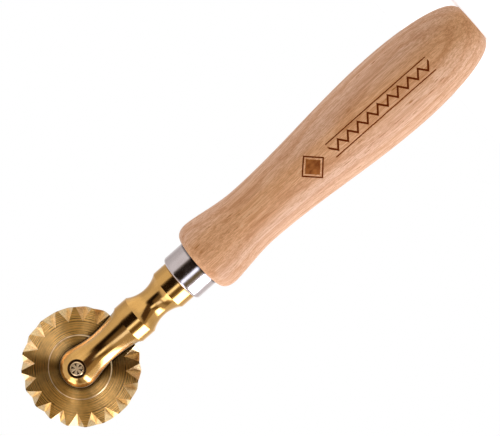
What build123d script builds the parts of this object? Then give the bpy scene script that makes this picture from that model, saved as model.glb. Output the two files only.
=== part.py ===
from build123d import *

import itertools
import math
import os

# Pastry cutter wheel: a toothed brass wheel in a turned brass fork, on a beech handle with a steel ferrule.
# Millimetres. The origin is the centre of the handle's flat butt. +Z runs along the tool to the wheel, and
# the axle lies along Y. A turned piece is drawn as an outline of (radius, height) points and spun about Z.

# Lengths along the tool
HANDLE_LENGTH = 111.5
FERRULE_LENGTH = 8.5
FORK_SHOULDER_TO_AXLE = 42.3
FERRULE_TOP = HANDLE_LENGTH + FERRULE_LENGTH
AXLE_HEIGHT = FERRULE_TOP + FORK_SHOULDER_TO_AXLE

# Handle outline. A reach is how far a curve runs straight on from its station before it bends.
BUTT_RADIUS = 6.7
BUTT_EDGE_ROUND = 0.3
BUTT_REACH_OUT, BUTT_REACH_UP = 4.2, 1.4
BELLY_RADIUS, BELLY_HEIGHT = 13.25, 31.0
BELLY_REACH_DOWN, BELLY_REACH_UP = 15.0, 20.5
WAIST_RADIUS, WAIST_HEIGHT = 9.95, 89.5
WAIST_REACH_DOWN, WAIST_REACH_UP = 20.0, 6.6
SWELL_RADIUS, SWELL_HEIGHT = 11.85, 107.5
SWELL_REACH_DOWN, SWELL_REACH_UP = 3.7, 2.1
FRONT_FACE_RADIUS = 9.4
FRONT_REACH_OUT = 1.5

# Ferrule and the handle's tenon inside it
FERRULE_RADIUS = 8.1
FERRULE_WALL = 0.7
FERRULE_FRONT_ROUND = 1.0
FERRULE_REAR_ROUND = 0.25
TENON_RADIUS = FERRULE_RADIUS - FERRULE_WALL
TENON_TOP = FERRULE_TOP - FERRULE_WALL
TENON_CHAMFER = 0.6

# Fork, as distances from the axle towards the handle
BALL_RADIUS = 6.8
BALL_END_DISTANCE = 1.0
BALL_REACH = 2.5
NECK_RADIUS, NECK_DISTANCE = 5.5, 10.3
NECK_REACH = 3.7
FLARE_RADIUS = 6.6
FLARE_REACH_IN, FLARE_REACH_ALONG = 0.55, 3.2
FRONT_COLLAR_NEAR, FRONT_COLLAR_FAR = 20.5, 25.3
REAR_COLLAR_NEAR = 37.2
COLLAR_RADIUS = 6.85
COVE_RADIUS = 5.05
COLLAR_EDGE_BREAK = 0.2
SLOT_WIDTH = 4.0
SLOT_DEPTH = 19.8
EAR_EDGE_BREAK = 0.15

# Axle pin
PIN_RADIUS = 2.0
PIN_HEAD_RADIUS = 2.42
PIN_HEAD_SEAT = 4.9
PIN_HALF_LENGTH = 6.3
PIN_HEAD_ROUND = 0.7
COUNTERBORE_RADIUS = 3.0
STAR_MARKS = 6
STAR_PHASE = 35.0
STAR_INNER_RADIUS, STAR_OUTER_RADIUS = 0.25, 1.75
STAR_HALF_WIDTH = 0.5
STAR_DEPTH = 0.45

# Cutting wheel
WHEEL_RADIUS = 19.0
WHEEL_THICKNESS = 3.1
TEETH = 20
GROOVE_APEX_RADIUS = 14.5
GROOVE_RIM_DEPTH = 2.7
GROOVE_RIM_HALF_WIDTH = 2.7
BOSS_RADIUS = 10.0
SIDE_PLAY = 0.15
BORE_PLAY = 0.05

# Stud that screws the fork to the handle
STUD_SHANK_RADIUS = 2.5
STUD_FORK_LENGTH = 13.0
STUD_FORK_PITCH = 0.8
STUD_FORK_THREAD_DEPTH = 0.43
STUD_WOOD_RADIUS = 3.0
STUD_WOOD_LENGTH = 30.0
STUD_WOOD_PITCH = 2.5
STUD_WOOD_THREAD_DEPTH = 0.9
STUD_POINT_LENGTH = 4.0
THREAD_RELIEF = 1.0
TAP_HOLE_EXTRA = 2.0
DRILL_POINT_ANGLE = 118
STUD_HOLE_PLAY = 0.03
FERRULE_HOLE_PLAY = 0.3

# Cutters run past the faces they cut by this much
OVERRUN = 1.0

# Shapes that grow up from their base
UPWARDS = (Align.CENTER, Align.CENTER, Align.MIN)


def turned(*edges):
    """The solid spun about Z from a closed outline of (radius, height) edges."""
    return revolve(Plane.XZ * make_face(Curve() + list(edges)), Axis.Z)


def path(*points):
    """Straight edges through (radius, height) points."""
    return [Line(start, end) for start, end in itertools.pairwise(points)]


def across(radius, half_length):
    """A cylinder along the axle, centred on the tool's axis."""
    return Pos(0, 0, AXLE_HEIGHT) * Rot(90, 0, 0) * Cylinder(radius, 2 * half_length)


def wedge(apex_radius, end_radius, half_width, depth):
    """A V cutter along +X that sinks into the plane z = 0, from a point at apex_radius to full depth."""
    slope = depth / (end_radius - apex_radius)
    start = apex_radius - OVERRUN / slope
    top_half_width = half_width * (depth + OVERRUN) / depth
    corners = [
        (start, 0, OVERRUN),
        (end_radius, top_half_width, OVERRUN),
        (end_radius, -top_half_width, OVERRUN),
        (end_radius, 0, -depth),
    ]
    sides = [Face(Wire.make_polygon(three)) for three in itertools.combinations(corners, 3)]
    return Solid(Shell(sides))


def on_face(tool, side, face_distance, angle):
    """Place a cutter on a face square to the axle: side -1 is the -Y face, angle turns from +X to +Z."""
    face = Plane(origin=(0, side * face_distance, AXLE_HEIGHT), x_dir=(1, 0, 0), z_dir=(0, side, 0))
    turn = -side * angle
    return face * Rot(0, 0, turn) * tool


def ridges(radius, thread_depth, pitch, start, end):
    """Outline points of a thread drawn as plain V ridges, climbing from height start to end."""
    count = round((end - start) / pitch)
    step = (end - start) / count
    points = []
    for i in range(count):
        points.append((radius - thread_depth, start + i * step))
        points.append((radius, start + (i + 0.5) * step))
    points.append((radius - thread_depth, end))
    return points


def stud(play):
    """The double-ended stud, or with play above 0 the hole it screws into."""
    wood_end = TENON_TOP - STUD_WOOD_LENGTH
    fork_start = FERRULE_TOP + THREAD_RELIEF
    fork_end = FERRULE_TOP + STUD_FORK_LENGTH
    shank = STUD_SHANK_RADIUS + play
    wood = ridges(STUD_WOOD_RADIUS + play, STUD_WOOD_THREAD_DEPTH, STUD_WOOD_PITCH, wood_end, TENON_TOP)
    metal = ridges(shank, STUD_FORK_THREAD_DEPTH, STUD_FORK_PITCH, fork_start, fork_end)
    point = (0, wood_end - STUD_POINT_LENGTH - play)
    tip = (0, fork_end + play)
    return turned(*path(point, *wood, (shank, TENON_TOP), (shank, fork_start), *metal, tip, point))


def handle():
    """Beech handle with a flat butt, and a tenon for the ferrule bored for the stud."""
    butt_edge = (BUTT_RADIUS, BUTT_EDGE_ROUND)
    belly = (BELLY_RADIUS, BELLY_HEIGHT)
    waist = (WAIST_RADIUS, WAIST_HEIGHT)
    swell = (SWELL_RADIUS, SWELL_HEIGHT)
    front_face = (FRONT_FACE_RADIUS, HANDLE_LENGTH)
    butt = Line((BUTT_RADIUS - BUTT_EDGE_ROUND, 0), butt_edge)
    heel = Bezier(
        butt_edge,
        (BUTT_RADIUS + BUTT_REACH_OUT, BUTT_EDGE_ROUND + BUTT_REACH_UP),
        (BELLY_RADIUS, BELLY_HEIGHT - BELLY_REACH_DOWN),
        belly,
    )
    taper = Bezier(
        belly,
        (BELLY_RADIUS, BELLY_HEIGHT + BELLY_REACH_UP),
        (WAIST_RADIUS, WAIST_HEIGHT - WAIST_REACH_DOWN),
        waist,
    )
    flare = Bezier(
        waist,
        (WAIST_RADIUS, WAIST_HEIGHT + WAIST_REACH_UP),
        (SWELL_RADIUS, SWELL_HEIGHT - SWELL_REACH_DOWN),
        swell,
    )
    front = Bezier(
        swell,
        (SWELL_RADIUS, SWELL_HEIGHT + SWELL_REACH_UP),
        (FRONT_FACE_RADIUS + FRONT_REACH_OUT, HANDLE_LENGTH),
        front_face,
    )
    top = path(
        front_face,
        (TENON_RADIUS, HANDLE_LENGTH),
        (TENON_RADIUS, TENON_TOP - TENON_CHAMFER),
        (TENON_RADIUS - TENON_CHAMFER, TENON_TOP),
        (0, TENON_TOP),
        (0, 0),
        (BUTT_RADIUS - BUTT_EDGE_ROUND, 0),
    )
    return turned(butt, heel, taper, flare, front, *top) - stud(STUD_HOLE_PLAY)


def ferrule():
    """Steel cup over the tenon, its front wall bored for the stud."""
    cup = Pos(0, 0, HANDLE_LENGTH) * Cylinder(FERRULE_RADIUS, FERRULE_LENGTH, align=UPWARDS)
    cup = fillet(cup.edges().sort_by(Axis.Z)[-1], FERRULE_FRONT_ROUND)
    cup = fillet(cup.edges().sort_by(Axis.Z)[0], FERRULE_REAR_ROUND)
    inside = turned(*path(
        (0, HANDLE_LENGTH - OVERRUN),
        (TENON_RADIUS, HANDLE_LENGTH - OVERRUN),
        (TENON_RADIUS, TENON_TOP - TENON_CHAMFER),
        (TENON_RADIUS - TENON_CHAMFER, TENON_TOP),
        (0, TENON_TOP),
        (0, HANDLE_LENGTH - OVERRUN),
    ))
    hole = Pos(0, 0, FERRULE_TOP) * Cylinder(STUD_SHANK_RADIUS + FERRULE_HOLE_PLAY, 4 * FERRULE_WALL)
    return cup - inside - hole


def fork():
    """Brass fork: ball end, neck, two collars and the cove between them, slotted for the wheel."""

    def at(radius, distance):
        return (radius, AXLE_HEIGHT - distance)

    ball_side = math.sqrt(BALL_RADIUS**2 - BALL_END_DISTANCE**2)
    ball_lean = BALL_END_DISTANCE / ball_side
    shoulder = path(
        at(0, FORK_SHOULDER_TO_AXLE),
        at(COLLAR_RADIUS - COLLAR_EDGE_BREAK, FORK_SHOULDER_TO_AXLE),
        at(COLLAR_RADIUS, FORK_SHOULDER_TO_AXLE - COLLAR_EDGE_BREAK),
        at(COLLAR_RADIUS, REAR_COLLAR_NEAR),
    )
    cove = ThreePointArc(
        at(COLLAR_RADIUS, REAR_COLLAR_NEAR),
        at(COVE_RADIUS, (REAR_COLLAR_NEAR + FRONT_COLLAR_FAR) / 2),
        at(COLLAR_RADIUS, FRONT_COLLAR_FAR),
    )
    front_collar = path(
        at(COLLAR_RADIUS, FRONT_COLLAR_FAR),
        at(COLLAR_RADIUS, FRONT_COLLAR_NEAR),
        at(FLARE_RADIUS, FRONT_COLLAR_NEAR),
    )
    flare = Bezier(
        at(FLARE_RADIUS, FRONT_COLLAR_NEAR),
        at(FLARE_RADIUS - FLARE_REACH_IN, FRONT_COLLAR_NEAR - FLARE_REACH_ALONG),
        at(NECK_RADIUS, NECK_DISTANCE + NECK_REACH),
        at(NECK_RADIUS, NECK_DISTANCE),
    )
    ear = Bezier(
        at(NECK_RADIUS, NECK_DISTANCE),
        at(NECK_RADIUS, NECK_DISTANCE - NECK_REACH),
        at(ball_side - ball_lean * BALL_REACH, BALL_END_DISTANCE + BALL_REACH),
        at(ball_side, BALL_END_DISTANCE),
    )
    middle = BALL_RADIUS * math.sqrt(0.5)
    ball = ThreePointArc(at(ball_side, BALL_END_DISTANCE), at(middle, -middle), at(0, -BALL_RADIUS))
    axis = path(at(0, -BALL_RADIUS), at(0, FORK_SHOULDER_TO_AXLE))
    body = turned(*shoulder, cove, *front_collar, flare, ear, ball, *axis)
    slot_height = SLOT_DEPTH + BALL_RADIUS + OVERRUN
    slot = Pos(0, 0, AXLE_HEIGHT - SLOT_DEPTH) * Box(4 * BALL_RADIUS, SLOT_WIDTH, slot_height, align=UPWARDS)
    body -= slot
    curved = body.edges().filter_by(GeomType.LINE, reverse=True)
    ear_edges = [edge for edge in curved if math.isclose(abs(edge.center().Y), SLOT_WIDTH / 2, abs_tol=1e-4)]
    body = chamfer(ear_edges, EAR_EDGE_BREAK)
    tap_radius = STUD_SHANK_RADIUS - STUD_FORK_THREAD_DEPTH
    tap_end = FERRULE_TOP + STUD_FORK_LENGTH + TAP_HOLE_EXTRA
    drill_point = tap_radius / math.tan(math.radians(DRILL_POINT_ANGLE / 2))
    tap_hole = turned(*path(
        (0, FERRULE_TOP - OVERRUN),
        (tap_radius, FERRULE_TOP - OVERRUN),
        (tap_radius, tap_end),
        (0, tap_end + drill_point),
        (0, FERRULE_TOP - OVERRUN),
    ))
    pin_hole = across(PIN_RADIUS, 2 * BALL_RADIUS)
    counterbores = across(COUNTERBORE_RADIUS, 2 * BALL_RADIUS) - across(COUNTERBORE_RADIUS, PIN_HEAD_SEAT)
    return body - pin_hole - counterbores - tap_hole - stud(STUD_HOLE_PLAY)


def axle_pin():
    """Pin with a wider head at each end, each staked with a star of wedge marks."""
    heads = across(PIN_HEAD_RADIUS, PIN_HALF_LENGTH) - across(PIN_HEAD_RADIUS + OVERRUN, PIN_HEAD_SEAT)
    pin = across(PIN_RADIUS, PIN_HALF_LENGTH) + heads
    rims = pin.edges().filter_by(GeomType.CIRCLE).group_by(Axis.Y)
    pin = fillet(rims[0] + rims[-1], PIN_HEAD_ROUND)
    mark = wedge(STAR_INNER_RADIUS, STAR_OUTER_RADIUS, STAR_HALF_WIDTH, STAR_DEPTH)
    for side in (-1, 1):
        for i in range(STAR_MARKS):
            pin -= on_face(mark, side, PIN_HALF_LENGTH, STAR_PHASE + i * 360 / STAR_MARKS)
    return pin


def cutting_wheel():
    """Wheel with V grooves in both faces, staggered by half a tooth, and a low boss on each face."""
    boss_half = SLOT_WIDTH / 2 - SIDE_PLAY
    half = WHEEL_THICKNESS / 2
    boss_edge = boss_half - half
    blank = across(WHEEL_RADIUS, half)
    for side in (-1, 1):
        boss = Cone(BOSS_RADIUS + boss_edge, BOSS_RADIUS, boss_edge, align=UPWARDS)
        blank += on_face(boss, side, half, 0)
    reach = (WHEEL_RADIUS + OVERRUN - GROOVE_APEX_RADIUS) / (WHEEL_RADIUS - GROOVE_APEX_RADIUS)
    groove = wedge(
        GROOVE_APEX_RADIUS, WHEEL_RADIUS + OVERRUN, GROOVE_RIM_HALF_WIDTH * reach, GROOVE_RIM_DEPTH * reach
    )
    pitch = 360 / TEETH
    for side, first in ((-1, pitch / 2), (1, 0)):
        for i in range(TEETH):
            blank -= on_face(groove, side, half, first + i * pitch)
    return blank - across(PIN_RADIUS + BORE_PLAY, 2 * half)


os.makedirs("parts", exist_ok=True)
pieces = {
    "handle": handle(),
    "ferrule": ferrule(),
    "fork": fork(),
    "fork_stud": stud(0),
    "axle_pin": axle_pin(),
    "cutting_wheel": cutting_wheel(),
}
for name, piece in pieces.items():
    export_step(piece, f"parts/{name}.step")
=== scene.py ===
import math
from collections import namedtuple

import bpy
from mathutils import Matrix, Quaternion, Vector


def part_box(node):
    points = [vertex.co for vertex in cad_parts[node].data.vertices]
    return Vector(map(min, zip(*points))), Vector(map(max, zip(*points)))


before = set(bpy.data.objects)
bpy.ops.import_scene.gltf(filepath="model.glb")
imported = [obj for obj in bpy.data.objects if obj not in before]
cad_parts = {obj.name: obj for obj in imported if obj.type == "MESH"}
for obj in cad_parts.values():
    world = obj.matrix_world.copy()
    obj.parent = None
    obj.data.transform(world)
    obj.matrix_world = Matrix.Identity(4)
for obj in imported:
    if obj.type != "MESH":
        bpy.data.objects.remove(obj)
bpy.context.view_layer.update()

# Pastry cutter wheel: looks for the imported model. Blender units are metres. The tool stands on its butt
# along +Z, with the axle along Y. Shader patterns work in millimetres.
MM_PER_METRE = 1000.0

# Directions of the camera, the cards and the lamps are in degrees: azimuth 0 is the side of -Y and grows
# towards -X, and elevation grows upwards. Roll turns the camera anticlockwise, as seen from behind it.
# The distance, and the rise of the camera's aim above the tool's middle, are in metres.
CAMERA_AZIMUTH = 3.3
CAMERA_ELEVATION = -6.93
CAMERA_ROLL = -131.36
CAMERA_DISTANCE = 0.5927
CAMERA_LENS = 137.35
CAMERA_SENSOR = 36.0
CAMERA_RISE = 0.0002

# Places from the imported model: the tool's height in metres, then the height of the axle and the distance
# of the pin's end face from the middle in millimetres
wheel_low, wheel_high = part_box("cutting_wheel")
tool_height = wheel_high.z
axle_height = (wheel_low.z + wheel_high.z) / 2 * MM_PER_METRE
pin_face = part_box("axle_pin")[1].y * MM_PER_METRE

# The colour sockets of a Mix node, which has a set of sockets for each kind of data
MIX_FIRST, MIX_SECOND, MIX_RESULT = 6, 7, 2


class Signal:
    """An output of a shader node, which adds, multiplies and subtracts like a number."""

    def __init__(self, tree, socket):
        self.tree = tree
        self.socket = socket

    def __add__(self, other):
        return maths("ADD", self, other)

    def __radd__(self, other):
        return maths("ADD", other, self)

    def __sub__(self, other):
        return maths("SUBTRACT", self, other)

    def __rsub__(self, other):
        return maths("SUBTRACT", other, self)

    def __mul__(self, other):
        return maths("MULTIPLY", self, other)

    def __rmul__(self, other):
        return maths("MULTIPLY", other, self)

    def __truediv__(self, other):
        return maths("DIVIDE", self, other)


def connect(tree, socket, value):
    """Give an input a number, a vector, a colour or another node's output."""
    if isinstance(value, Signal):
        tree.links.new(value.socket, socket)
    else:
        socket.default_value = value


def maths(operation, *values):
    """A Math node over signals and numbers."""
    tree = next(value.tree for value in values if isinstance(value, Signal))
    node = tree.nodes.new("ShaderNodeMath")
    node.operation = operation
    for socket, value in zip(node.inputs, values):
        connect(tree, socket, value)
    return Signal(tree, node.outputs[0])


def vector_maths(operation, inputs, result="Vector"):
    """A Vector Math node. Inputs go by number or name, and the first is a signal."""
    tree = inputs[0].tree
    node = tree.nodes.new("ShaderNodeVectorMath")
    node.operation = operation
    for key, value in inputs.items():
        connect(tree, node.inputs[key], value)
    return Signal(tree, node.outputs[result])


def length_of(vector):
    """The length of a vector signal."""
    return vector_maths("LENGTH", {0: vector}, "Value")


def scaled(colour, amount):
    """A colour or vector signal times a number or a signal."""
    return vector_maths("SCALE", {0: colour, "Scale": amount})


def tinted(colour, tint):
    """A colour signal multiplied by a fixed colour."""
    return vector_maths("MULTIPLY", {0: colour, 1: tint})


def parts_of(vector):
    """The x, y and z signals of a vector signal."""
    node = vector.tree.nodes.new("ShaderNodeSeparateXYZ")
    connect(vector.tree, node.inputs[0], vector)
    return [Signal(vector.tree, output) for output in node.outputs]


def joined(x, y, z):
    """A vector signal from three signals or numbers."""
    tree = next(value.tree for value in (x, y, z) if isinstance(value, Signal))
    node = tree.nodes.new("ShaderNodeCombineXYZ")
    for socket, value in zip(node.inputs, (x, y, z)):
        connect(tree, socket, value)
    return Signal(tree, node.outputs[0])


def noise_value(position, dimensions, position_socket, scale, detail, roughness):
    """A Noise node's value from 0 to 1 at a position."""
    node = position.tree.nodes.new("ShaderNodeTexNoise")
    node.noise_dimensions = dimensions
    connect(position.tree, node.inputs[position_socket], position)
    node.inputs["Scale"].default_value = scale
    node.inputs["Detail"].default_value = detail
    node.inputs["Roughness"].default_value = roughness
    return Signal(position.tree, node.outputs["Fac"])


def noise(place, scale, detail=2.0, roughness=0.5):
    """Noise from 0 to 1 in space, with scale cells in each unit of length."""
    return noise_value(place, "3D", "Vector", scale, detail, roughness)


def grain_noise(place, across, along, detail=2.0, roughness=0.5):
    """Noise from 0 to 1 with different numbers of cells per millimetre across Z and along it."""
    x, y, z = parts_of(place)
    return noise(joined(x * across, y * across, z * along), 1.0, detail, roughness)


def noise_line(position, scale, detail=2.0, roughness=0.5):
    """Noise from 0 to 1 along one number, such as a height or a radius."""
    return noise_value(position, "1D", "W", scale, detail, roughness)


def ease(value, low, high, start=0.0, end=1.0):
    """A smooth step from start to end as value goes from low to high. High may be below low."""
    node = value.tree.nodes.new("ShaderNodeMapRange")
    node.interpolation_type = "SMOOTHSTEP"
    if low > high:
        low, high, start, end = high, low, end, start
    connect(value.tree, node.inputs["Value"], value)
    node.inputs["From Min"].default_value = low
    node.inputs["From Max"].default_value = high
    node.inputs["To Min"].default_value = start
    node.inputs["To Max"].default_value = end
    return Signal(value.tree, node.outputs["Result"])


def fall(value, low, high):
    """A smooth step from 1 down to 0 as value goes from low to high."""
    return ease(value, low, high, 1.0, 0.0)


def band(value, low, high, soft):
    """1 between low and high, 0 outside, with soft edges."""
    return ease(value, low - soft / 2, low + soft / 2) * fall(value, high - soft / 2, high + soft / 2)


def mixed(amount, first, second):
    """The colour between first and second at amount, from 0 to 1."""
    tree = amount.tree
    node = tree.nodes.new("ShaderNodeMix")
    node.data_type = "RGBA"
    connect(tree, node.inputs["Factor"], amount)
    for socket, colour in ((MIX_FIRST, first), (MIX_SECOND, second)):
        connect(tree, node.inputs[socket], colour if isinstance(colour, Signal) else (*colour, 1.0))
    return Signal(tree, node.outputs[MIX_RESULT])


def bumped(height, depth_mm):
    """A normal bent by a height signal from 0 to 1 that stands for depth_mm."""
    node = height.tree.nodes.new("ShaderNodeBump")
    node.inputs["Strength"].default_value = 1.0
    node.inputs["Distance"].default_value = depth_mm / MM_PER_METRE
    connect(height.tree, node.inputs["Height"], height)
    return Signal(height.tree, node.outputs[0])


def openness(tree, reach_mm):
    """1 in the open and towards 0 where another surface is within reach_mm."""
    node = tree.nodes.new("ShaderNodeAmbientOcclusion")
    node.inputs["Distance"].default_value = reach_mm / MM_PER_METRE
    return Signal(tree, node.outputs["AO"])


def in_world(vector):
    """A vector signal of the object's own frame, turned into the world's."""
    node = vector.tree.nodes.new("ShaderNodeVectorTransform")
    node.vector_type = "VECTOR"
    node.convert_from = "OBJECT"
    node.convert_to = "WORLD"
    connect(vector.tree, node.inputs[0], vector)
    return Signal(vector.tree, node.outputs[0])


def new_material(name):
    """An empty material, and its place in millimetres in the object's own frame."""
    material = bpy.data.materials.new(name)
    material.use_nodes = True
    tree = material.node_tree
    tree.nodes.clear()
    coordinates = tree.nodes.new("ShaderNodeTexCoord")
    return material, scaled(Signal(tree, coordinates.outputs["Object"]), MM_PER_METRE)


def surface(tree, **inputs):
    """A Principled surface joined to the output. An input's name has _ for each space."""
    shader = tree.nodes.new("ShaderNodeBsdfPrincipled")
    for name, value in inputs.items():
        connect(tree, shader.inputs[name.replace("_", " ")], value)
    output = tree.nodes.new("ShaderNodeOutputMaterial")
    tree.links.new(shader.outputs[0], output.inputs["Surface"])


def dress(node_name, material):
    """Put a material on every slot of a CAD node."""
    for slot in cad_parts[node_name].material_slots:
        slot.material = material


# Handle: beech, with rings about a pith that lies off the handle, at PITH in x and y. The tone changes
# across x at wavering edges, and the butt's darker tone fades out upwards.
PEACH_BEECH = (0.92, 0.56, 0.375)
GOLDEN_BEECH = (1.0, 0.56, 0.295)
PINK_BEECH = (0.93, 0.575, 0.36)
BROWN_BEECH = (0.72, 0.33, 0.14)
LATE_WOOD = (0.66, 0.275, 0.095)
FLECK = (0.45, 0.13, 0.006)
PALE_FIBRE_TINT = (1.08, 1.10, 1.10)
DARK_FIBRE_TINT = (0.83, 0.71, 0.58)
BUTT_TINT = (0.74, 0.70, 0.62)
PITH = (-9.0, 70.0)
RING_SPACING = 2.9
PINK_TO_GOLDEN = (-7.5, -2.0)
GOLDEN_TO_PEACH = (2.5, 8.5)
TONE_WAVER = 10.0
BUTT_TONE_START, BUTT_TONE_END = 6.0, 40.0

# Burnt ornament on the side of -Y: a zigzag between two lines along Z, and a lozenge above them
SCORCH = (0.13, 0.016, 0.0005)
LIGHT_SCORCH = (0.64, 0.225, 0.052)
BURN_CENTRE = -1.6
BURN_FUZZ = 0.24
ZIGZAG_START, ZIGZAG_END = 17.5, 57.5
ZIGZAG_PERIOD = 4.0
ZIGZAG_AMPLITUDE = 1.25
ZIGZAG_STROKE = 0.62
BORDER_OFFSET = 2.5
BORDER_STROKE = 0.34
LOZENGE_HEIGHT = 64.8
LOZENGE_HALF_DIAGONAL = 4.6
LOZENGE_STROKE = 0.65
LOZENGE_FILL_INSET = 1.25


def burnt_zigzag(across, z, fuzz):
    """1 on a zigzag along Z and on the line each side of it, 0 elsewhere."""
    phase = maths("FRACT", (z - ZIGZAG_START) / ZIGZAG_PERIOD)
    triangle = maths("ABSOLUTE", phase - 0.5) * 4.0 - 1.0
    slope = 4 * ZIGZAG_AMPLITUDE / ZIGZAG_PERIOD
    from_zigzag = maths("ABSOLUTE", across - triangle * ZIGZAG_AMPLITUDE) * (1 / math.hypot(1, slope))
    from_border = maths("ABSOLUTE", maths("ABSOLUTE", across) - BORDER_OFFSET)
    zigzag = fall(from_zigzag + fuzz, ZIGZAG_STROKE * 0.3, ZIGZAG_STROKE * 0.7)
    border = fall(from_border + fuzz, BORDER_STROKE * 0.2, BORDER_STROKE * 0.9)
    return maths("MAXIMUM", zigzag, border) * band(z, ZIGZAG_START, ZIGZAG_END, 0.3)


def burnt_lozenge(place, across, z, fuzz):
    """1 on a lozenge's outline, an uneven scorch inside it and 0 elsewhere."""
    diagonal = maths("ABSOLUTE", across) + maths("ABSOLUTE", z - LOZENGE_HEIGHT)
    from_rim = LOZENGE_HALF_DIAGONAL - diagonal + fuzz
    outline = band(from_rim, 0.0, LOZENGE_STROKE, 0.25)
    scorch = 0.5 + 0.5 * grain_noise(place, 1.1, 0.5)
    inside = ease(from_rim, LOZENGE_FILL_INSET, LOZENGE_FILL_INSET + 0.25)
    return maths("MAXIMUM", outline, scorch * inside)


def burnt_ornament(place):
    """How much the wood is burnt, from 0 to 1."""
    x, y, z = parts_of(place)
    fuzz = (noise(place, 2.2, detail=3.0) - 0.5) * BURN_FUZZ
    across = x - BURN_CENTRE
    front = fall(y, -1.0, -0.5)
    burn = maths("MAXIMUM", burnt_zigzag(across, z, fuzz), burnt_lozenge(place, across, z, fuzz))
    return burn * front


def late_wood(place):
    """0 in early wood, rising to 1 in late wood across each of the rings, which waver about the pith."""
    x, y, _ = parts_of(place)
    bend = grain_noise(place, 0.05, 0.022) * 7.0
    waver = grain_noise(place, 0.3, 0.04) * 0.9
    from_pith = length_of(joined(x - PITH[0], y - PITH[1], 0.0))
    ring = maths("FRACT", (from_pith + bend + waver) / RING_SPACING)
    return ease(ring, 0.35, 0.93) * fall(ring, 0.93, 1.0)


def spindles(place, spacing, slimness, reach):
    """Spots about spacing mm apart across Z and slimness times as far along it, each of its own strength."""
    x, y, z = parts_of(place)
    node = place.tree.nodes.new("ShaderNodeTexVoronoi")
    node.inputs["Scale"].default_value = 1.0
    cells = joined(x / spacing, y / spacing, z / (spacing * slimness))
    connect(place.tree, node.inputs["Vector"], cells)
    strength = parts_of(Signal(place.tree, node.outputs["Color"]))[0]
    distance = Signal(place.tree, node.outputs["Distance"])
    return fall(distance, reach * 0.35, reach) * ease(strength, 0.25, 1.0)


def wood_flecks(place):
    """Beech's dark ray flecks, long and short, from 0 to 1, fainter in some regions than in others."""
    x, y, z = parts_of(place)
    push = noise(place, 2.0) * 0.35
    ragged = joined(x + push, y - push, z + push * 2.0)
    density = ease(grain_noise(place, 0.16, 0.05), 0.36, 0.6)
    long_flecks = spindles(ragged, spacing=0.72, slimness=11.0, reach=0.31) * (0.35 + 0.65 * density)
    short_flecks = spindles(ragged, spacing=1.5, slimness=3.8, reach=0.25) * (0.25 + 0.75 * density)
    return maths("MAXIMUM", long_flecks * 0.95, short_flecks)


def wood_tone(place, wavering_x):
    """The colour under the grain: pink at -X, golden, then peach at +X, with brown patches and late wood."""
    colour = mixed(ease(wavering_x, *PINK_TO_GOLDEN), PINK_BEECH, GOLDEN_BEECH)
    colour = mixed(ease(wavering_x, *GOLDEN_TO_PEACH), colour, PEACH_BEECH)
    patches = ease(grain_noise(place, 0.45, 0.06, detail=3.0, roughness=0.6), 0.47, 0.66)
    heart = band(wavering_x, -4.5, 4.5, 6.0)
    colour = mixed(patches * (0.12 + 0.28 * heart), colour, BROWN_BEECH)
    return mixed(late_wood(place) * 0.36, colour, LATE_WOOD)


def beech():
    """Beech: rings, streaks and fibres along Z, dark flecks, a darker butt and the burnt ornament."""
    material, place = new_material("beech_wood")
    x, _, z = parts_of(place)
    wavering_x = x + (grain_noise(place, 0.11, 0.016) - 0.5) * TONE_WAVER
    streaks = grain_noise(place, 1.7, 0.04, roughness=0.55)
    threads = grain_noise(place, 3.4, 0.10, roughness=0.6)
    fibres = grain_noise(place, 9.0, 0.3, roughness=0.6)
    grain = 0.5 + (streaks - 0.5) * 2.4 + (threads - 0.5) * 2.8 + (fibres - 0.5) * 3.6
    lines = ease(grain_noise(place, 2.6, 0.055), 0.58, 0.72)
    fleck = wood_flecks(place)
    burn = burnt_ornament(place)
    colour = wood_tone(place, wavering_x)
    dark_fibre, pale_fibre = tinted(colour, DARK_FIBRE_TINT), tinted(colour, PALE_FIBRE_TINT)
    colour = mixed(ease(grain, 0.0, 1.0), dark_fibre, pale_fibre)
    near_butt = fall(z, BUTT_TONE_START, BUTT_TONE_END) * 0.55 * ease(wavering_x, -7.0, -2.0)
    colour = mixed(near_butt, colour, tinted(colour, BUTT_TINT))
    colour = mixed(lines * 0.30, colour, LATE_WOOD)
    colour = mixed(fleck * 0.8, colour, FLECK)
    colour = mixed(ease(burn, 0.0, 0.65), colour, mixed(ease(burn, 0.45, 1.05), LIGHT_SCORCH, SCORCH))
    surface(
        material.node_tree,
        Base_Color=colour,
        Roughness=0.44 + (fibres - 0.5) * 0.2 + burn * 0.3,
        Specular_IOR_Level=0.24 - burn * 0.22 - fleck * 0.15,
        Normal=bumped(threads * 0.6 + fibres * 0.5 - fleck * 0.2 - burn * 2.0, depth_mm=0.025),
    )
    return material


# Metals
BRASS = (0.79, 0.445, 0.137)
SMUDGED_BRASS = (0.68, 0.35, 0.095)
PALE_EAR_BRASS = (0.80, 0.60, 0.34)
PAINTED_RECESS_SHADE = (0.08, 0.03, 0.009)
SATIN_BRASS = (0.62, 0.305, 0.062)
MILLED_BRASS = (0.85, 0.61, 0.31)
PAINTED_BOSS_HIGHLIGHT = (1.0, 0.76, 0.42)
PALE_BRASS = (0.84, 0.56, 0.30)
PRESSED_BRASS = (0.98, 0.72, 0.42)
DIRT_AND_SHADE = (0.06, 0.025, 0.005)
NICKEL = (0.74, 0.65, 0.635)
SMUDGED_NICKEL = (0.62, 0.53, 0.515)
STEEL = (0.56, 0.55, 0.54)
DULL_STEEL = (0.42, 0.42, 0.44)

# Where the metals change and where shade and a highlight are painted: at the fork's slot and counterbores,
# at the wheel's face, grooves and boss, and around the pin's star of marks
SLOT_BOTTOM = 142.5
SLOT_SIDE = 2.0
COUNTERBORE_RADIUS = 3.0
WHEEL_FACE = 1.55
GROOVE_APEX_RADIUS = 14.5
BOSS_RADIUS = 10.0
STAR_RADIUS = 1.78


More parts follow.
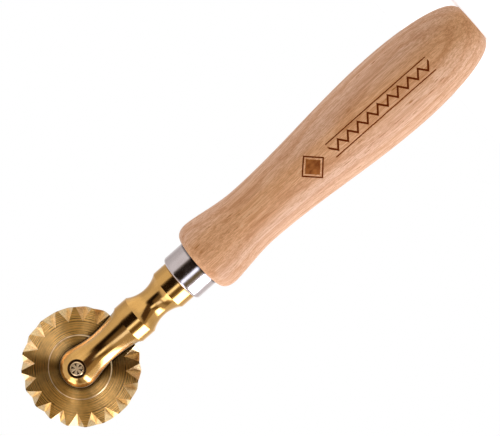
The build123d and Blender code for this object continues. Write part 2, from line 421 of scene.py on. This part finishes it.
def smudges(place):
    """Faint finger and polish marks from 0 to 1."""
    return ease(noise(place, 0.35, detail=4.0, roughness=0.6), 0.4, 0.75)


def polished_brass():
    """Polished brass with faint rings around Z, painted shade in its counterbores and beside the slot, and a
    paler tone beside the slot.
    """
    material, place = new_material("polished_brass")
    x, y, z = parts_of(place)
    turning = noise_line(z, 9.0, detail=3.0, roughness=0.7)
    ripple = noise(place, 0.5)
    smudge = smudges(place)
    from_axle = length_of(joined(x, 0.0, z - axle_height))
    from_middle = maths("ABSOLUTE", y)
    beside_slot = ease(z, SLOT_BOTTOM - 1.0, SLOT_BOTTOM + 2.0)
    # Painted shade: the ear's sides beside the slot and the counterbores round the pin turn near black,
    # standing for the shade in the gaps to the wheel and the pin.
    slot_edge = ease(from_middle, SLOT_SIDE + 0.1, SLOT_SIDE + 1.1, 0.95, 0.0) * beside_slot
    counterbore = fall(from_axle, COUNTERBORE_RADIUS + 0.02, COUNTERBORE_RADIUS + 0.12)
    shaded_recess = maths("MAXIMUM", counterbore, slot_edge)
    pale_ear = ease(from_middle, SLOT_SIDE + 1.3, SLOT_SIDE + 2.6, 0.8, 0.0) * beside_slot
    colour = mixed(smudge * 0.5, BRASS, SMUDGED_BRASS)
    colour = mixed(pale_ear, colour, PALE_EAR_BRASS)
    surface(
        material.node_tree,
        Base_Color=mixed(shaded_recess * 0.9, colour, PAINTED_RECESS_SHADE),
        Metallic=1.0 - shaded_recess * 0.9,
        Specular_IOR_Level=0.2,
        Roughness=0.10 + smudge * 0.06 + turning * 0.03 + shaded_recess * 0.4,
        Normal=bumped(turning * 0.5 + ripple * 2.0, depth_mm=0.004),
    )
    return material


def nickel_plate():
    """Bright nickel on a pressed steel cup: drawn rings, a faint pebble and shade near other surfaces."""
    material, place = new_material("ferrule_plating")
    z = parts_of(place)[2]
    rings = noise_line(z, 6.0, detail=3.0, roughness=0.7)
    pebble = noise(place, 1.1)
    smudge = smudges(place)
    shade = ease(openness(place.tree, reach_mm=1.5), 0.65, 0.95, 0.15, 1.0)
    surface(
        material.node_tree,
        Base_Color=scaled(mixed(smudge * 0.4, NICKEL, SMUDGED_NICKEL), shade),
        Metallic=1.0,
        Roughness=0.13 + smudge * 0.08,
        Normal=bumped(rings * 0.4 + pebble, depth_mm=0.006),
    )
    return material


def turned_wheel_brass():
    """Satin brass with milled grooves and concentric turning marks, which draw a highlight out radially, and
    a painted highlight on the boss's edge.
    """
    material, place = new_material("turned_brass")
    x, y, z = parts_of(place)
    radial = joined(x, 0.0, z - axle_height)
    radius = length_of(radial)
    below_face = fall(maths("ABSOLUTE", y), WHEEL_FACE - 0.05, WHEEL_FACE - 0.01)
    milled = below_face * ease(radius, GROOVE_APEX_RADIUS - 0.2, GROOVE_APEX_RADIUS)
    turned = 1.0 - milled
    boss_edge = band(radius, BOSS_RADIUS - 0.05, BOSS_RADIUS + 0.35, 0.1)
    coarse = noise_line(radius, 2.3, detail=1.0)
    fine = noise_line(radius, 4.6, detail=3.0, roughness=0.7)
    clearness = 0.25 + 1.3 * ease(noise(place, 0.22), 0.38, 0.68)
    wobble = noise(place, 0.5)
    cut = noise(place, 1.6, detail=4.0, roughness=0.7)
    rings = ((coarse - 0.5) * 1.2 + (fine - 0.5) * 1.9) * clearness
    turned_tone = 1.0 + rings + (wobble - 0.5) * 0.8
    milled_tone = 1.02 + (cut - 0.5) * 1.5
    shade = ease(openness(place.tree, reach_mm=5.0), 0.73, 0.97, 0.08, 1.0)
    tone = milled_tone * milled + turned_tone * shade * turned
    colour = scaled(mixed(milled, SATIN_BRASS, MILLED_BRASS), tone)
    surface(
        material.node_tree,
        # Painted highlight: a bright, uneven ring along the boss's chamfered edge.
        Base_Color=mixed(boss_edge * (0.25 + 0.9 * wobble), colour, PAINTED_BOSS_HIGHLIGHT),
        Metallic=1.0,
        Roughness=0.31 - 0.01 * milled,
        Anisotropic=turned * (1.0 - boss_edge),
        Tangent=in_world(radial),
        Normal=bumped((coarse * 2.0 + fine) * turned + cut * 0.35 * milled, depth_mm=0.03),
    )
    return material


def pin_brass():
    """Brass pin, satin where the press staked it, with dirt and painted shade in its wedge marks."""
    material, place = new_material("pin_brass")
    x, y, z = parts_of(place)
    grain = noise(place, 3.0, detail=3.0)
    from_axle = length_of(joined(x, 0.0, z - axle_height))
    staked = fall(from_axle, STAR_RADIUS - 0.06, STAR_RADIUS + 0.06)
    # The wedge marks are painted near black: dirt and painted shade in their recesses.
    mark = ease(maths("ABSOLUTE", y), pin_face - 0.035, pin_face - 0.11) * staked
    colour = mixed(maths("MAXIMUM", grain, staked), PALE_BRASS, PRESSED_BRASS)
    surface(
        material.node_tree,
        Base_Color=mixed(mark * 0.97, colour, DIRT_AND_SHADE),
        Metallic=1.0 - mark * 0.9,
        Specular_IOR_Level=0.2,
        Roughness=0.2 + grain * 0.12 + staked * 0.22,
        Normal=bumped(grain, depth_mm=0.01),
    )
    return material


def stud_steel():
    """Zinc-bright steel screw thread."""
    material, place = new_material("stud_steel")
    z = parts_of(place)[2]
    rolled = noise_line(z, 5.0, detail=3.0)
    spots = noise(place, 1.2, detail=3.0)
    surface(
        material.node_tree,
        Base_Color=mixed(spots, STEEL, DULL_STEEL),
        Metallic=1.0,
        Roughness=0.28 + spots * 0.2,
        Normal=bumped(rolled + spots, depth_mm=0.01),
    )
    return material


# Floor
FLOOR_RADIUS = 6.0
FLOOR_SIDES = 96
FLOOR_WHITE = (0.92, 0.92, 0.92)
FLOOR_SPECKLE = (0.85, 0.85, 0.85)
WHITE = (1.0, 1.0, 1.0)


def white_floor():
    """A pale matt disc that glows a little, so that it fades into the white around it."""
    turns = [2 * math.pi * side / FLOOR_SIDES for side in range(FLOOR_SIDES)]
    ring = [(FLOOR_RADIUS * math.cos(turn), FLOOR_RADIUS * math.sin(turn), 0.0) for turn in turns]
    mesh = bpy.data.meshes.new("floor")
    mesh.from_pydata(ring, [], [tuple(range(FLOOR_SIDES))])
    floor = bpy.data.objects.new("floor", mesh)
    bpy.context.scene.collection.objects.link(floor)
    material, place = new_material("floor_white")
    surface(
        material.node_tree,
        Base_Color=mixed(noise(place, 0.5, detail=3.0) * 0.02, FLOOR_WHITE, FLOOR_SPECKLE),
        Roughness=0.9,
        Specular_IOR_Level=0.2,
        Emission_Color=(*WHITE, 1.0),
        Emission_Strength=0.35,
    )
    mesh.materials.append(material)
    floor.visible_glossy = False
    floor.visible_diffuse = False
    floor.visible_shadow = False


# Studio light: soft cards on an even ground. Each card covers what is listed before it. Azimuth and
# elevation are its limits, lean moves its azimuth for each degree above its middle, and soft is its edge's
# width.
AMBIENT = (0.64, 0.63, 0.63)
STUDIO_STRENGTH = 1.13
Card = namedtuple("Card", "azimuth elevation lean soft light")
CARDS = {
    "left dip": Card((-140, -86), (-2, 34), 0, 22, (0.50, 0.49, 0.49)),
    "low glow": Card((-128, -10), (-40, -2), 0, 18, (0.84, 0.83, 0.82)),
    "dim side": Card((4, 94), (2, 54), 0.2, 12, (0.40, 0.37, 0.33)),
    "brown side": Card((48, 94), (36, 52), 0.3, 9, (0.19, 0.15, 0.10)),
    "dark above": Card((-41, 13), (0, 58), -0.05, 14, (0.15, 0.12, 0.09)),
    "black above": Card((-39, -12), (2, 54), -0.2, 19, (0.01, 0.006, 0.004)),
    "black middle": Card((-29, 7), (-1, 18), 0.2, 9, (0.012, 0.007, 0.004)),
    "brown below": Card((24, 66), (-48, 3), -0.4, 10, (0.30, 0.25, 0.18)),
    "dark below": Card((-4, 42), (-46, 3), -0.8, 11, (0.07, 0.045, 0.03)),
    "strip": Card((12, 25), (0, 20), 0.1, 8, (1.40, 1.55, 1.85)),
    "tall strip": Card((18, 38), (22, 40), 0.5, 8, (1.1, 1.25, 1.8)),
    "olive gap": Card((29, 48), (0, 20), 0.9, 7, (0.14, 0.10, 0.04)),
    "low key": Card((64, 140), (-30, 3), 0, 10, (0.56, 0.56, 0.56)),
    "key": Card((59, 107), (3, 19), 0.3, 8, (6.0, 6.1, 7.2)),
    "top": Card((26, 165), (60, 80), 0, 8, (2.8, 2.8, 2.8)),
    "top near wing": Card((20, 60), (46, 62), 0.6, 8, (1.6, 1.7, 2.1)),
    "top far wing": Card((128, 175), (42, 62), 0, 10, (1.7, 1.7, 1.7)),
    "floor glow": Card((76, 135), (-56, -34), 0, 12, (1.2, 1.2, 1.2)),
    "back": Card((148, 178), (-50, 30), 0, 10, (0.9, 0.9, 0.9)),
}


def studio():
    """The world: the cards light the tool, and the camera sees plain white."""
    world = bpy.data.worlds.new("studio")
    bpy.context.scene.world = world
    world.use_nodes = True
    tree = world.node_tree
    tree.nodes.clear()
    coordinates = tree.nodes.new("ShaderNodeTexCoord")
    towards = Signal(tree, coordinates.outputs["Generated"])
    x, y, z = parts_of(towards)
    azimuth = maths("DEGREES", maths("ARCTAN2", x * -1.0, y * -1.0))
    elevation = maths("DEGREES", maths("ARCSINE", z))
    light = AMBIENT
    for card in CARDS.values():
        low, high = card.elevation
        leaned = azimuth - (elevation - (low + high) / 2) * card.lean
        cover = band(leaned, *card.azimuth, card.soft) * band(elevation, low, high, card.soft)
        light = mixed(cover, light, card.light)
    unevenness = 0.78 + 0.44 * noise(towards, 3.5, detail=4.0, roughness=0.6)
    path = tree.nodes.new("ShaderNodeLightPath")
    camera_ray = Signal(tree, path.outputs["Is Camera Ray"])
    background = tree.nodes.new("ShaderNodeBackground")
    connect(tree, background.inputs["Color"], mixed(camera_ray, scaled(light, unevenness), WHITE))
    connect(tree, background.inputs["Strength"], camera_ray + (1.0 - camera_ray) * STUDIO_STRENGTH)
    output = tree.nodes.new("ShaderNodeOutputWorld")
    tree.links.new(background.outputs[0], output.inputs["Surface"])


# Soft lamps that reach the wheel alone, whose turned faces spread each one into a streak along the radius.
# A lamp's width is in degrees.
WheelLamp = namedtuple("WheelLamp", "azimuth elevation width power light")
WHEEL_LAMPS = {
    "streak_side": WheelLamp(-50, 18, 36, 1.26, (0.84, 1.08, 2.3)),
    "streak_high": WheelLamp(19, 39, 8, 0.17, (0.82, 1.08, 2.2)),
    "streak_low": WheelLamp(-20, 44, 9, 0.09, (0.8, 1.08, 2.0)),
}


def direction(azimuth, elevation):
    """The unit vector towards an azimuth and an elevation."""
    azimuth, elevation = math.radians(azimuth), math.radians(elevation)
    level = math.cos(elevation)
    return Vector((-math.sin(azimuth) * level, -math.cos(azimuth) * level, math.sin(elevation)))


def wheel_lamps():
    """Sun lamps that are linked to the cutting wheel, so that they light nothing else."""
    wheel_only = bpy.data.collections.new("wheel_only")
    wheel_only.objects.link(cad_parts["cutting_wheel"])
    for name, lamp in WHEEL_LAMPS.items():
        sun = bpy.data.lights.new(name, "SUN")
        sun.energy = lamp.power
        sun.angle = math.radians(lamp.width)
        sun.color = lamp.light
        holder = bpy.data.objects.new(name, sun)
        holder.rotation_euler = direction(lamp.azimuth, lamp.elevation).to_track_quat("Z", "Y").to_euler()
        holder.light_linking.receiver_collection = wheel_only
        bpy.context.scene.collection.objects.link(holder)


def photo_camera():
    """The camera looks at the tool's middle, rolled so that the handle points up and to the right."""
    camera_data = bpy.data.cameras.new("camera")
    camera_data.lens = CAMERA_LENS
    camera_data.sensor_width = CAMERA_SENSOR
    camera_data.clip_start = 0.01
    back = direction(CAMERA_AZIMUTH, CAMERA_ELEVATION)
    target = Vector((0.0, 0.0, tool_height / 2 + CAMERA_RISE))
    roll = Quaternion((0.0, 0.0, 1.0), math.radians(CAMERA_ROLL))
    turn = back.to_track_quat("Z", "Y") @ roll
    camera = bpy.data.objects.new("camera", camera_data)
    camera.matrix_world = Matrix.LocRotScale(target + back * CAMERA_DISTANCE, turn, None)
    bpy.context.scene.collection.objects.link(camera)
    bpy.context.scene.camera = camera


dress("handle", beech())
dress("ferrule", nickel_plate())
dress("fork", polished_brass())
dress("fork_stud", stud_steel())
dress("axle_pin", pin_brass())
dress("cutting_wheel", turned_wheel_brass())
white_floor()
studio()
wheel_lamps()
photo_camera()
bpy.context.scene.view_settings.view_transform = "Standard"
bpy.context.scene.view_settings.look = "None"
